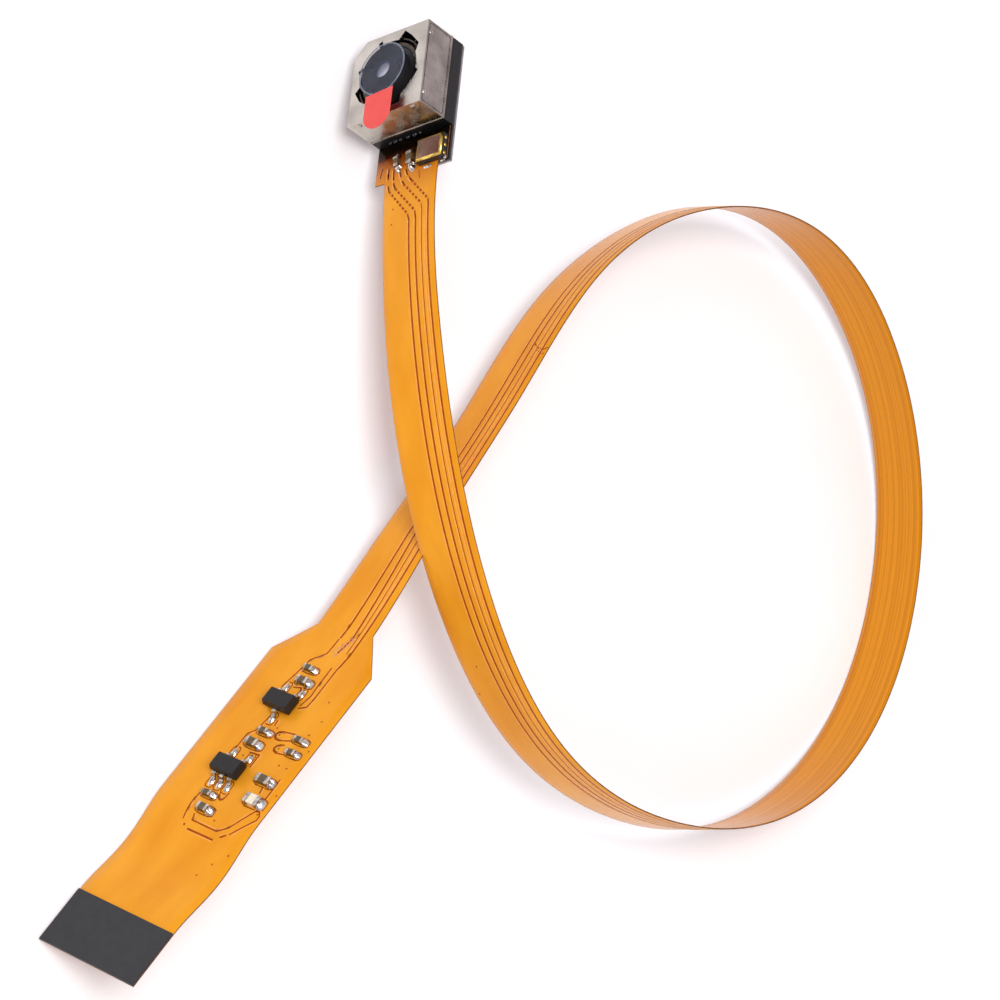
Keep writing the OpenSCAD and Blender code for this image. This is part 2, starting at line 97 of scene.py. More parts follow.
# %% Route
LENS_TILT = 18.36
HEAD_ROLL = 104.36
HEAD_AT = Vector((5.1, 2.26, 6.684))
FLEX_T = 0.12
RATE_LEN = 10
ROUTE_STEP = 14
ROUTE = [
    (-14, 6), (-6, -5), (-9, 2), (-13, 6), (-25, 4), (-16, -1), (-24, 5), (-23, -1), (-16, -3),
    (-15, -2), (-19, 2), (-35, -7), (-22, 6), (-20, -9), (6, 2), (-4, -10), (15, -1),
]
RIBBON_LEN = ROUTE_STEP * (len(ROUTE) - 1)
TAIL_LEN = 33
STRIDE = 2
FLAT_LEN = 1.2

PLACE = (
    Matrix.Translation(HEAD_AT)
    @ Matrix.Rotation(math.radians(-LENS_TILT), 4, "X")
    @ Matrix.Rotation(math.radians(-HEAD_ROLL), 4, "Y")
    @ Matrix.Rotation(math.radians(90), 4, "X")
)


def rates(s):
    """Bend and twist, in degrees for every RATE_LEN, at a distance along the circuit."""
    row = min(int(s / ROUTE_STEP), len(ROUTE) - 2)
    part = s / ROUTE_STEP - row
    return [a * (1 - part) + b * part for a, b in zip(ROUTE[row], ROUTE[row + 1])]


def stride(walked, s):
    """The next frame along the circuit: point, along, across, face normal."""
    point, along, across, normal = walked
    bend, twist = [math.radians(rate * STRIDE / RATE_LEN) for rate in rates(s + STRIDE / 2)]
    ahead = along * math.cos(bend) + normal * math.sin(bend)
    lifted = normal * math.cos(bend) - along * math.sin(bend)
    reached = point + (along + ahead) * STRIDE / 2
    wide = across * math.cos(twist) + lifted * math.sin(twist)
    return reached, ahead, wide, lifted * math.cos(twist) - across * math.sin(twist)


FRAMES = [(Vector((0, 0, 0)), Vector((0, -1, 0)), Vector((1, 0, 0)), Vector((0, 0, 1)))]
for step in range(RIBBON_LEN // STRIDE):
    FRAMES.append(stride(FRAMES[-1], step * STRIDE))
print("route walked in", len(FRAMES) - 1, "strides, circuit", RIBBON_LEN + TAIL_LEN, "mm long")


def frame_at(s):
    """Frame at any distance: straight where it is bonded to the board, and along the tail."""
    i = max(0, min(len(FRAMES) - 1, math.floor(s / STRIDE)))
    rest = s - i * STRIDE
    here = FRAMES[i]
    if i == len(FRAMES) - 1 or s <= FLAT_LEN:
        return (here[0] + here[1] * rest, *here[1:])
    there, t = FRAMES[i + 1], rest / STRIDE
    chord = here[0].lerp(there[0], t)
    eased = (here[1] * (1 - t) - there[1] * t) * STRIDE + (there[0] - here[0]) * (2 * t - 1)
    turned = [a.lerp(b, t).normalized() for a, b in zip(here[1:], there[1:])]
    return (chord + eased * t * (1 - t), *turned)


# %% [markdown]
# The tail bows a little towards its back between its parts and its stiffener. One function then
# gives the place of any spot on the circuit: its distance, its place across, and its lift off
# the middle of the sheet. All later prints, lines and dots on the circuit use it.

# %% Spots on the circuit
TAIL_BOW = 0.6
BOW_START = 16
STIFFENER_LEN = 5.4
BOW_LEN = TAIL_LEN - STIFFENER_LEN - BOW_START


def bow(s):
    """How far the sheet leaves its flat course, which is only along the tail."""
    part = (s - RIBBON_LEN - BOW_START) / BOW_LEN
    return -TAIL_BOW * (1 - math.cos(2 * math.pi * part)) / 2 if 0 < part < 1 else 0


def spot(s, across, lift):
    """A place on the circuit, in metres in the part's own frame."""
    point, _, wide, normal = frame_at(s)
    return (PLACE @ (point + wide * across + normal * (bow(s) + lift))) * mm


TAIL_FRAME = frame_at(RIBBON_LEN)
TAIL_TURN = Matrix((TAIL_FRAME[2], -TAIL_FRAME[1], TAIL_FRAME[3])).transposed().to_4x4()
ON_TAIL = PLACE @ Matrix.Translation(TAIL_FRAME[0] + TAIL_FRAME[3] * FLEX_T / 2) @ TAIL_TURN
ON_BOARD = PLACE @ Matrix.Translation((0, 0, FLEX_T / 2))

# %% [markdown]
# ## A way to make pieces
# A piece is a mesh that a small function fills, with a finish and the body that it rides on. The
# circuit and its parts ride on the module. The film's rim rides on the lens unit, because the lens
# slides in and out to focus.

# %% Piece helpers


def mesh_of(name, build, *args):
    """A new mesh made by a function that fills a bmesh."""
    bm = bmesh.new()
    build(bm, *args)
    mesh = bpy.data.meshes.new(name)
    bm.to_mesh(mesh)
    bm.free()
    print("mesh", name, "has", len(mesh.polygons), "faces")
    return mesh


def keep(mesh, slot, *finishes, body="module"):
    """Makes an object of a mesh, gives it its finishes, and lets it ride on a body."""
    piece = bpy.data.objects.new(mesh.name, mesh)
    bpy.context.scene.collection.objects.link(piece)
    for material in finishes:
        mesh.materials.append(material)
    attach(piece, body)
    return piece


def rows_of(start, end, step):
    """Numbers from start to end, about a step apart."""
    count = max(1, round((end - start) / step))
    return [start + (end - start) * k / count for k in range(count + 1)]


def skin(bm, rows, closed=False, flip=False):
    """Joins rows of points into smooth faces. A closed row goes right round."""
    grid = [[bm.verts.new(point) for point in row] for row in rows]
    for near, far in zip(grid, grid[1:]):
        for k in range(len(near) - (not closed)):
            quad = [near[k], near[(k + 1) % len(near)], far[(k + 1) % len(far)], far[k]]
            bm.faces.new(quad[::-1] if flip else quad).smooth = True


# %% [markdown]
# ## A way to write finishes
# Colours are written as sRGB hex and turned to linear in one place. One small function adds a
# node with its settings and links. Most of the small parts share one kind of finish: a fine
# two-colour grain, patches about three grains wide that are a little rougher or smoother, and
# a slight relief. Noise seldom leaves the span from 0.3 to 0.7, so that span is stretched.

# %% Finish helpers
NOISE_SPAN = {"From Min": 0.3, "From Max": 0.7}
GRAIN_STOPS = (0.35, 0.65)
PATCH_CELLS = 0.3


def linear(hex_colour):
    """sRGB hex to linear RGBA."""
    parts = [int(hex_colour[i : i + 2], 16) / 255 for i in (1, 3, 5)]
    return [p / 12.92 if p <= 0.04045 else ((p + 0.055) / 1.055) ** 2.4 for p in parts] + [1.0]


def add(tree, kind, inputs=None, stops=None, **settings):
    """Adds a node, sets its settings and colour stops, and sets or links its inputs."""
    node = tree.nodes.new("ShaderNode" + kind)
    for name, value in settings.items():
        setattr(node, name, value)
    for name, value in (inputs or {}).items():
        if isinstance(value, bpy.types.NodeSocket):
            tree.links.new(value, node.inputs[name])
        else:
            node.inputs[name].default_value = value
    for k, (position, colour) in enumerate(stops or []):
        elements = node.color_ramp.elements
        element = elements[k] if k < 2 else elements.new(position)
        element.position, element.color = position, linear(colour)
    return node


def bare_finish(name, metallic=0.0, **sockets):
    """A new material, its node tree, and its shader with the named values set."""
    material = bpy.data.materials.new(name)
    material.use_nodes = True
    shader = material.node_tree.nodes["Principled BSDF"]
    shader.inputs["Metallic"].default_value = metallic
    for socket, value in sockets.items():
        shader.inputs[socket.replace("_", " ")].default_value = value
    print("finish", name)
    return material, material.node_tree, shader


def wire(tree, shader, colour, roughness, relief=None, relief_mm=0.0):
    """Links colour, roughness and relief to the shader."""
    tree.links.new(colour, shader.inputs["Base Color"])
    tree.links.new(roughness, shader.inputs["Roughness"])
    if relief:
        bump = add(tree, "Bump", {"Height": relief, "Distance": relief_mm * mm, "Strength": 1.0})
        tree.links.new(bump.outputs["Normal"], shader.inputs["Normal"])


def grained(name, dark, light, rough, grain_mm, relief_mm=0.0, metallic=0.0, **sockets):
    """A finish with a grain of a real size, from a dark to a light colour."""
    material, tree, shader = bare_finish(name, metallic, **sockets)
    place = add(tree, "TexCoord").outputs["Object"]
    fine = {"Vector": place, "Scale": 1 / (grain_mm * mm), "Detail": 2.0}
    speck = add(tree, "TexNoise", fine).outputs["Fac"]
    coarse = {"Vector": place, "Scale": PATCH_CELLS / (grain_mm * mm), "Detail": 3.0}
    patch = add(tree, "TexNoise", coarse).outputs["Fac"]
    stops = list(zip(GRAIN_STOPS, (dark, light)))
    colour = add(tree, "ValToRGB", {"Fac": speck}, stops).outputs["Color"]
    span = {**NOISE_SPAN, "Value": patch, "To Min": rough[0], "To Max": rough[1]}
    roughness = add(tree, "MapRange", span).outputs["Result"]
    wire(tree, shader, colour, roughness, speck if relief_mm else None, relief_mm)
    return material


# %% [markdown]
# ## Polyimide
# The circuit's cover film is amber polyimide, rolled smooth and bonded over copper, so the
# copper's warmth shows through its skin. Its index is near 1.6. A look straight at it gets the
# copper's colour back, and only a grazing look gets a white sheen. Right at the can it carries
# black ink, and over the next few millimetres a painted shade, standing for the shade close to
# the can, clears through brown to amber. The pad's corner beside the ribbon is black all over,
# up to its edge.

# %% Polyimide, front
INK_AND_SHADE_START = -1.9
INK_AND_SHADE_FADE = 4.9
CORNER_SIDE = 3.25
CORNER_END = 0.9
CORNER_SOFT = 0.05
CLOUD_CELLS = (0.28, 0.11)


def film_map(tree, scale, detail):
    """Noise on the circuit's own map; scale is in cells per mm, across and along."""
    place = add(tree, "UVMap", uv_map="UVMap").outputs["UV"]
    moved = add(tree, "Mapping", {"Vector": place, "Scale": (*scale, 1)}).outputs["Vector"]
    cells = add(tree, "TexNoise", {"Vector": moved, "Scale": 1.0, "Detail": detail})
    return place, cells.outputs["Fac"]


FILM = {"IOR": 1.6, "Specular_Tint": linear("#F0A040")}
film_front, tree, shader = bare_finish("polyimide_over_copper", **FILM)
place, cloud = film_map(tree, CLOUD_CELLS, 3.0)
amber = add(tree, "ValToRGB", {"Fac": cloud}, [(0.3, "#E0911C"), (0.7, "#EEA42A")]).outputs["Color"]
sides = add(tree, "SeparateXYZ", {"Vector": place})
across, along = sides.outputs["X"], sides.outputs["Y"]
edge = {"Value": along, "From Min": INK_AND_SHADE_START, "From Max": INK_AND_SHADE_START + INK_AND_SHADE_FADE}
from_can = add(tree, "MapRange", edge).outputs["Result"]
# Black ink at the can, then painted shade that darkens the amber and fades out through brown.
ink_and_shade_stops = [
    (0.0, "#12100E"), (1.0, "#FFFFFF"), (0.09, "#4A2A14"), (0.18, "#B08868"), (0.4, "#DCC0B4"),
]
ink_and_painted_shade = add(tree, "ValToRGB", {"Fac": from_can}, ink_and_shade_stops).outputs["Color"]
ink_and_shade_mix = {0: 1.0, 6: amber, 7: ink_and_painted_shade}
shaded = add(tree, "Mix", ink_and_shade_mix, data_type="RGBA", blend_type="MULTIPLY").outputs[2]
edge = {"Value": across, "From Min": CORNER_SIDE - CORNER_SOFT, "From Max": CORNER_SIDE + CORNER_SOFT}
past_side = add(tree, "MapRange", edge).outputs["Result"]
edge = {"Value": along, "From Min": CORNER_END - CORNER_SOFT, "From Max": CORNER_END}
before_end = add(tree, "MapRange", {**edge, "To Min": 1, "To Max": 0}).outputs["Result"]
corner = add(tree, "Math", {0: past_side, 1: before_end}, operation="MULTIPLY").outputs[0]
blacked = {0: corner, 6: shaded, 7: linear("#0C0D0E")}
printed_and_shaded = add(tree, "Mix", blacked, data_type="RGBA").outputs[2]
span = {**NOISE_SPAN, "Value": cloud, "To Min": 0.2, "To Max": 0.27}
wire(tree, shader, printed_and_shaded, add(tree, "MapRange", span).outputs["Result"], cloud, 0.02)

# %% [markdown]
# The back shows the tracks as many fine lines along the circuit, close together and uneven,
# because the film lies over them like a sheet over cords.

# %% Polyimide, back and edges
TRACK_CELLS = (4.6, 0.004)
SHEEN_CELLS = (0.2, 0.05)
film_back, tree, shader = bare_finish("polyimide_over_tracks", **FILM)
_, tracks = film_map(tree, TRACK_CELLS, 1.0)
track_stops = [(0.36, "#C67C11"), (0.5, "#D68A19"), (0.64, "#DF951F")]
line = add(tree, "ValToRGB", {"Fac": tracks}, track_stops).outputs["Color"]
_, cloud = film_map(tree, SHEEN_CELLS, 3.0)
span = {**NOISE_SPAN, "Value": cloud, "To Min": 0.22, "To Max": 0.3}
wire(tree, shader, line, add(tree, "MapRange", span).outputs["Result"], tracks, 0.004)
film_edge = grained("polyimide_cut_edge", "#5A3210", "#8A5420", (0.5, 0.6), 0.3)

# %% [markdown]
# ## The circuit's sheet
# The sheet is about 0.12 mm thick. It is drawn as a row of sections with softened edges, so it
# bends as the route bends. Its map holds the place across and the distance in millimetres, so
# every finish on it is laid out in real sizes. The pad's notch and the wide tail come from how
# far the sheet reaches to each side, so rows stand close together where that reach changes.

# %% Circuit sheet
RIBBON_W = 6.2
TAIL_W = 11.5
PAD_START = -2.7
PAD_END = 0.62
PAD_REACH = (4.2, 4.1)
SHOULDER = 3.7
SHOULDER_SHIFT = (0.4, -0.2)
EDGE_SOFT = 0.02
ACROSS_PARTS = 10
ROW_STEP = 0.5
FINE_STEP = 0.1


def reaches(s):
    """How far the sheet reaches to its left and right of the route."""
    if s < PAD_END:
        return PAD_REACH
    if s < FLAT_LEN - 0.02:
        return PAD_REACH[0], RIBBON_W / 2
    wider = [max(0, min(1, (s - RIBBON_LEN - shift) / SHOULDER + 1)) for shift in SHOULDER_SHIFT]
    return [RIBBON_W / 2 + (TAIL_W - RIBBON_W) / 2 * part for part in wider]


def section(s):
    """Points round one section, as place across and lift: left edge, front, right edge, back."""
    left, right = reaches(s)
    half = FLEX_T / 2
    inner = rows_of(EDGE_SOFT - left, right - EDGE_SOFT, (left + right) / ACROSS_PARTS)
    left_edge = [(-left, EDGE_SOFT - half), (-left, half - EDGE_SOFT)]
    front = [(u, half) for u in inner]
    right_edge = [(right, half - EDGE_SOFT), (right, EDGE_SOFT - half)]
    back = [(u, -half) for u in reversed(inner)]
    return left_edge + front + right_edge + back


SHEET_ROWS = [PAD_START, PAD_END - 0.02, PAD_END + 0.03, FLAT_LEN - 0.05, FLAT_LEN]
SHEET_ROWS += rows_of(FLAT_LEN + 0.4, RIBBON_LEN - 4, ROW_STEP)
SHEET_ROWS += rows_of(RIBBON_LEN - 3.9, RIBBON_LEN + 0.6, FINE_STEP)
SHEET_ROWS += rows_of(RIBBON_LEN + 1, RIBBON_LEN + TAIL_LEN, ROW_STEP)
FRONT_SIDES = range(2, 2 + ACROSS_PARTS)
BACK_SIDES = range(5 + ACROSS_PARTS, 5 + 2 * ACROSS_PARTS)


def circuit_sheet(bm):
    """Joins the sections; its finishes are 0 for the front, 1 for the back, 2 for the edges."""
    uv = bm.loops.layers.uv.new("UVMap")
    rings = []
    for s in SHEET_ROWS:
        rings.append([(bm.verts.new(spot(s, u, lift)), (u, s)) for u, lift in section(s)])
    for near, far in zip(rings, rings[1:]):
        for k in range(len(near)):
            after = (k + 1) % len(near)
            corners = [near[k], far[k], far[after], near[after]]
            face = bm.faces.new([vert for vert, _ in corners])
            face.smooth = True
            face.material_index = 0 if k in FRONT_SIDES else 1 if k in BACK_SIDES else 2
            for loop, (_, place) in zip(face.loops, corners):
                loop[uv].uv = place
    bm.faces.new([vert for vert, _ in reversed(rings[0])]).material_index = 2
    bm.faces.new([vert for vert, _ in rings[-1]]).material_index = 2
    bmesh.ops.recalc_face_normals(bm, faces=bm.faces)


sheet_finishes = (film_front, film_back, film_edge)
circuit = keep(mesh_of("circuit_sheet", circuit_sheet), "polyimide", *sheet_finishes)
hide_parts("flex_circuit")

# %% [markdown]
# ## Lines on the circuit
# Where copper is etched away between two tracks, the film sinks and the gap shows as a dark
# line with a bright shoulder. Each line is a thin strip that follows the sheet through points
# given as distance and place across. Each shoulder is a low rounded rib beside it, whose
# lighter colour is a painted highlight.

# %% Line makers
LINE_LIFT = 0.006


def walk(points, step=0.5):
    """Samples a line of (distance, across) points every step, with its sideways direction."""
    samples = []
    for (s0, u0), (s1, u1) in zip(points, points[1:]):
        length = math.hypot(s1 - s0, u1 - u0)
        side = (-(u1 - u0) / length, (s1 - s0) / length)
        for t in rows_of(0, 1, step / length):
            samples.append((s0 + (s1 - s0) * t, u0 + (u1 - u0) * t, side))
    return samples


def strips(bm, lines, profile, shift=0.0):
    """Adds strips; each line is (width, points) and the profile lists its lifts across."""
    for width, points in lines:
        sides = [shift + width * (k / (len(profile) - 1) - 0.5) for k in range(len(profile))]
        rows = []
        for s, u, side in walk(points):
            row = []
            for off, lift in zip(sides, profile):
                row.append(spot(s + side[0] * off, u + side[1] * off, FLEX_T / 2 + lift))
            rows.append(row)
        skin(bm, rows)


def dashed(start, end, dash=0.34, gap=0.2):
    """Short dashes from start to end."""
    length = math.dist(start, end)
    count = round(length / (dash + gap))
    lines = []
    for k in range(count):
        parts = (k / count, k / count + dash / length)
        lines.append([[a + (b - a) * t for a, b in zip(start, end)] for t in parts])
    return lines


# %% [markdown]
# Four gaps leave the head's parts by four points each, cross the circuit in dashes, and then go
# straight along it to the tail. The third is fainter. Two short ones lie beside the first ones.
# A rib, drawn bright as a painted highlight, lies between the third and the fourth.

# %% Lines along the ribbon
TAIL = RIBBON_LEN
TURN_OUT = TAIL - 14
LINE_W = 0.18
DASH_W = LINE_W * 1.2
FAINT_W = LINE_W * 0.5
RIB_W = 0.16
LONE_RIB_W = 0.14
RUNS = [
    [
        (-0.25, -2.72), (0.5, -2.68), (1.3, -2.68), (2.1, -2.5), (5.0, -0.1), (5.6, 0.08),
        (TURN_OUT, 0.08), (TAIL - 4, 0.2), (TAIL - 2.7, 0.1),
    ],
    [
        (0.05, -2.1), (1.1, -2.0), (1.6, -1.95), (2.05, -1.75), (4.9, 0.75), (5.6, 0.88),
        (TURN_OUT, 0.88), (TAIL - 3, 1.3), (TAIL - 1.3, 0.85),
    ],
    [
        (0.5, -1.32), (1.0, -1.15), (1.4, -1.0), (1.85, -0.78), (4.4, 1.5), (4.9, 1.6),
        (TURN_OUT, 1.6), (TAIL - 3.5, 1.75), (TAIL - 1.5, 1.75),
    ],
    [
        (0.4, -0.63), (0.8, -0.5), (1.2, -0.31), (1.75, 0.16), (4.2, 2.3), (4.6, 2.35),
        (TURN_OUT, 2.35), (TAIL - 1.5, 2.2), (TAIL + 0.2, 2.0),
    ],
]
LEAD_POINTS = 4
FAINT_RUN = 2

lead_lines = [(LINE_W, run[:LEAD_POINTS]) for run in RUNS]
lead_lines += [(0.07, [(1.0, 0.96), (1.85, 1.1)]), (0.12, [(-0.48, -3.46), (0.5, -3.68)])]
ribbon_lines = []
ribbon_ribs = []
for k, run in enumerate(RUNS):
    dashes = dashed(run[LEAD_POINTS - 1], run[LEAD_POINTS])
    ribbon_lines += [(DASH_W, dash) for dash in dashes]
    ribbon_lines.append((FAINT_W if k == FAINT_RUN else LINE_W, run[LEAD_POINTS:]))
    ribbon_ribs += [(RIB_W, run[:LEAD_POINTS]), (RIB_W, run[LEAD_POINTS + 1 :])]
lone_rib = [(LONE_RIB_W, [(5.8, 1.9), (TURN_OUT, 1.9), (TAIL - 2, 2.0)])]
print("gaps by the head:", len(lead_lines), "gaps and dashes along the ribbon:", len(ribbon_lines))

# %% [markdown]
# On the tail the gaps outline tracks and pads: a pair beside the two regulators, two small
# loops that end in plated holes, and one long loop below the last parts.

# %% Lines on the tail


def on_tail(*points):
    """Points given across and down the tail, turned to distance and place across."""
    return [(TAIL + down, across) for across, down in points]


TAIL_LINES = [
    on_tail((0.05, -2.6), (-0.1, -0.9), (-0.5, -0.5), (-1.2, 0.2), (-1.35, 1.1), (-1.9, 3.6)),
    on_tail((1.4, 0.2), (1.4, 2.0), (1.5, 3.4), (1.2, 4.6)),
    on_tail((2.0, 0), (2.0, 3.6), (1.9, 4.5), (1.2, 4.9)),
    on_tail((-0.8, 3.2), (0, 3.0), (0.3, 3.5)),
    on_tail((-0.8, 6.4), (-1.1, 8.2), (-1.65, 8.8), (-1.7, 11.0)),
    on_tail((0.2, 6.6), (0.3, 7.2)),
    on_tail(
        (2.9, 7.2), (1.5, 7.4), (1.15, 7.55), (1.0, 7.8), (1.05, 8.1), (1.3, 8.3), (1.7, 8.3),
        (2.9, 7.9),
    ),
    on_tail((2.6, 8.5), (2.2, 8.6), (1.9, 8.8), (1.8, 9.1), (1.95, 9.35), (2.3, 9.45), (3.1, 9.35)),
    on_tail((-0.1, 10.3), (1.0, 10.2), (1.0, 11.6)),
    on_tail((4.6, 11.5), (4.65, 13.7)),
    on_tail((3.6, 12.8), (3.7, 13.4)),
    on_tail((0.15, 14.8), (0.3, 15.2), (0.6, 15.35), (0.85, 15.2), (0.95, 14.4)),
    on_tail((-1.65, 15.0), (-1.85, 16.1), (-1.8, 17.1), (-1.6, 18.1)),
    on_tail(
        (-0.8, 17.3), (-0.65, 17.9), (2.35, 17.95), (3.3, 17.25), (4.6, 15.0), (5.0, 14.9),
        (5.3, 15.3),
    ),
    on_tail((5.3, 15.3), (5.3, 15.7), (3.75, 17.8)),
]
HEAVY_LINES = [
    on_tail((3.0, 18.3), (3.5, 17.9)),
    on_tail((2.5, 18.75), (-0.6, 18.75)),
    on_tail((-1.1, 18.6), (-1.2, 18.4)),
]
TAIL_LINE_W = 0.14
HEAVY_LINE_W = 0.2
TAIL_RIB_W = 0.15
tail_lines = [(TAIL_LINE_W, line) for line in TAIL_LINES]
tail_lines += [(HEAVY_LINE_W, line) for line in HEAVY_LINES]
tail_ribs = [(TAIL_RIB_W, line) for line in TAIL_LINES + HEAVY_LINES]

# %% [markdown]
# The film over a gap is sunk and darker, and browner still by the head, where the black ink and
# painted shade near the can lie over it too. Over a track's edge it is raised, and it is painted
# brighter there as a highlight. The ribs lie beside their gaps, so they are shifted by a line's width.

# %% Make the lines
gap_film = grained("polyimide_sunk_over_gap", "#8E3600", "#A44600", (0.45, 0.55), 0.4, **FILM)
# Ink and painted shade: the gaps by the head are drawn darker, as the film round them is.
lead_gap_film_in_shade = grained("polyimide_sunk_in_ink_and_painted_shade", "#4A1E06", "#6A2E0C", (0.45, 0.55), 0.4, **FILM)
# Painted highlight: the ribs are a lighter amber than the film round them.
rib_film_painted_highlight = grained("polyimide_raised_with_painted_highlight", "#EE9E3C", "#F4AA50", (0.3, 0.38), 0.6, **FILM)
FLAT = [LINE_LIFT, LINE_LIFT]
RIB = [0, 0.014, 0.02, 0.014, 0]
line_pieces = [
    keep(mesh_of("etched_gaps", strips, ribbon_lines + tail_lines, FLAT), "polyimide", gap_film),
    keep(mesh_of("lead_gaps", strips, lead_lines, FLAT), "polyimide", lead_gap_film_in_shade),
    keep(mesh_of("track_ribs", strips, ribbon_ribs, RIB, -RIB_W), "polyimide", rib_film_painted_highlight),
    keep(mesh_of("lone_rib", strips, lone_rib, RIB), "polyimide", rib_film_painted_highlight),
    keep(mesh_of("tail_ribs", strips, tail_ribs, RIB, TAIL_LINE_W), "polyimide", rib_film_painted_highlight),
]

# %% [markdown]
# Real circuits are handled: the film has small dark specks over plated holes, a crease where
# the circuit was once pinched, and a rubbed patch before the tail's first part.

# %% Holes, crease and rubbed patch
HOLES = on_tail(
    (1.5, 17.2), (5.4, 13), (3.5, 10.4), (4.4, 10.4), (4.1, 6.8), (5.2, 8.2), (4.3, 5.2),
    (3.6, 3.3), (0.6, 1.1), (0.7, 7.3), (-0.5, 10.8), (3.0, 11.8), (1.4, 7.8), (2.3, 9.0),
    (0.4, 15.1), (5.0, 15.2), (3.9, 20.6), (3.2, 22.0), (4.9, 19.4),
)
HOLES += [(4.05, -1.9), (5.5, -2.0), (46, -1.4), (48.6, -2.6), (189.9, 2.8)]
HOLE_R = 0.09
HOLE_WAVE = 0.25
HOLE_PARTS = 12
CREASE = [
    (0.11, [(188.9, 0.9), (189.3, 1.5), (189.5, 2.4), (189.2, 3.05)]),
    (0.09, [(189.6, 1.7), (189.9, 2.5)]),
]
RUB_AT = TAIL - 3.3
RUB_COUNT = 8
RUBS = []
for k in range(RUB_COUNT):
    s = RUB_AT + 0.3 * k
    RUBS.append((0.09, [(s, 1.45 - 0.12 * k), (s + 0.5, 1.75 - 0.14 * k)]))
for k in range(RUB_COUNT):
    s = RUB_AT + 0.25 * k
    RUBS.append((0.07, [(s, 1.6 - 0.16 * k), (s + 0.35, 1.0 - 0.1 * k)]))


def holes(bm):
    """Flat dark discs over the holes, with a rim that waves a little, as no two are alike."""
    for s, u in HOLES:
        centre = bm.verts.new(spot(s, u, FLEX_T / 2 + LINE_LIFT * 2))
        ring = []
        for k in range(HOLE_PARTS):
            turn = math.radians(360 * k / HOLE_PARTS)
            out = HOLE_R * (1 + HOLE_WAVE * math.sin(3 * turn + s))
            rim = (s + out * math.cos(turn), u + out * math.sin(turn))
            ring.append(bm.verts.new(spot(*rim, FLEX_T / 2 + LINE_LIFT)))
        for k in range(HOLE_PARTS):
            bm.faces.new([centre, ring[k], ring[(k + 1) % HOLE_PARTS]]).smooth = True


rubbed = grained("rubbed_copper", "#A8664A", "#DCA58C", (0.3, 0.45), 0.2, 0.01)
line_pieces += [
    keep(mesh_of("plated_holes", holes), "polyimide", gap_film),
    keep(mesh_of("crease", strips, CREASE, FLAT), "polyimide", gap_film),
    keep(mesh_of("rubbed_patch", strips, RUBS, [0, 0.012, 0]), "polyimide", rubbed),
]

# %% [markdown]
# ## Finishes of the head
# Each is named for the real material. The can is rolled nickel silver, deep drawn and left
# bare, so it is bright, with fine scratches and cloudy finger marks.

# %% Nickel silver
CLOUDS_PER_MM = 0.45
MARKS_PER_MM = 0.9
PITS_PER_MM = 3
nickel_silver, tree, shader = bare_finish("nickel_silver_drawn", 1.0)
place = add(tree, "TexCoord").outputs["Object"]
clouds = {"Vector": place, "Scale": CLOUDS_PER_MM / mm, "Detail": 4.0}
cloud = add(tree, "TexNoise", clouds).outputs["Fac"]
tones = [(0.3, "#A8A39B"), (0.55, "#C3BDB4"), (0.7, "#CFCAC1")]
tone = add(tree, "ValToRGB", {"Fac": cloud}, tones).outputs["Color"]
marks = {"Vector": place, "Scale": MARKS_PER_MM / mm, "Detail": 5.0}
mark = add(tree, "TexNoise", marks).outputs["Fac"]
span = {"Value": mark, "From Min": 0.35, "From Max": 0.7, "To Min": 0.2, "To Max": 0.36}
pits = {"Vector": place, "Scale": PITS_PER_MM / mm, "Detail": 2.0}
pit = add(tree, "TexNoise", pits).outputs["Fac"]
wire(tree, shader, tone, add(tree, "MapRange", span).outputs["Result"], pit, 0.005)

# %% [markdown]
# The line at the can's bent edge is drawn darker, with bright flecks, as painted shade and glints
# of the rounded edge. The magnets are plated with dull nickel, the springs are copper strip, and
# the coil's wire wears brown enamel. Tin and solder froze bright and uneven, while gold was
# plated evenly. Their real grains are too fine to show, so they are drawn a few tenths of a
# millimetre wide.

# %% Other metals
bend_shade_and_glint = grained("nickel_silver_painted_bend_shade", "#443E3A", "#9A938B", (0.2, 0.35), 0.5, 0.004, 1.0)
stainless = grained("stainless_rolled", "#A9ABAD", "#C3C4C5", (0.25, 0.4), 0.5, 0.004, 1.0)
magnet_nickel = grained("magnet_nickel_plate", "#1C1D20", "#2A2B2F", (0.3, 0.45), 0.4, 0.0, 1.0)
copper_wire = grained("enamelled_copper_wire", "#2A1710", "#4A2A1A", (0.35, 0.5), 0.15, 0.01, 0.6)
# Painted shade: the springs are drawn dark, as they lie in the shade inside the can.
spring_copper_in_painted_shade = grained("beryllium_copper_strip_painted_shade", "#3E3630", "#5C534B", (0.25, 0.4), 0.3, 0.0, 1.0)
tin_plate = grained("tin_plate", "#8E867C", "#D6D0C6", (0.16, 0.34), 0.25, 0.012, 1.0)
solder = grained("bright_solder", "#A8A29A", "#E8E4DE", (0.08, 0.24), 0.35, 0.03, 1.0)
gold_plate = grained("gold_plate", "#E0B040", "#F6D878", (0.16, 0.28), 0.5, 0.004, 1.0)
lid_metal = grained("nickel_lid_mirror", "#94796C", "#A68B7E", (0.24, 0.32), 1.6, 0.0, 1.0)
contact_gold = grained("hard_gold", "#C99A38", "#E2BC5E", (0.25, 0.4), 0.4, 0.002, 1.0)

# %% [markdown]
# The plastics and ceramics are dull, with a fine grain that breaks their highlights. It is
# drawn coarser than the real one, which wouldn't show. The glue set with a wet shine.

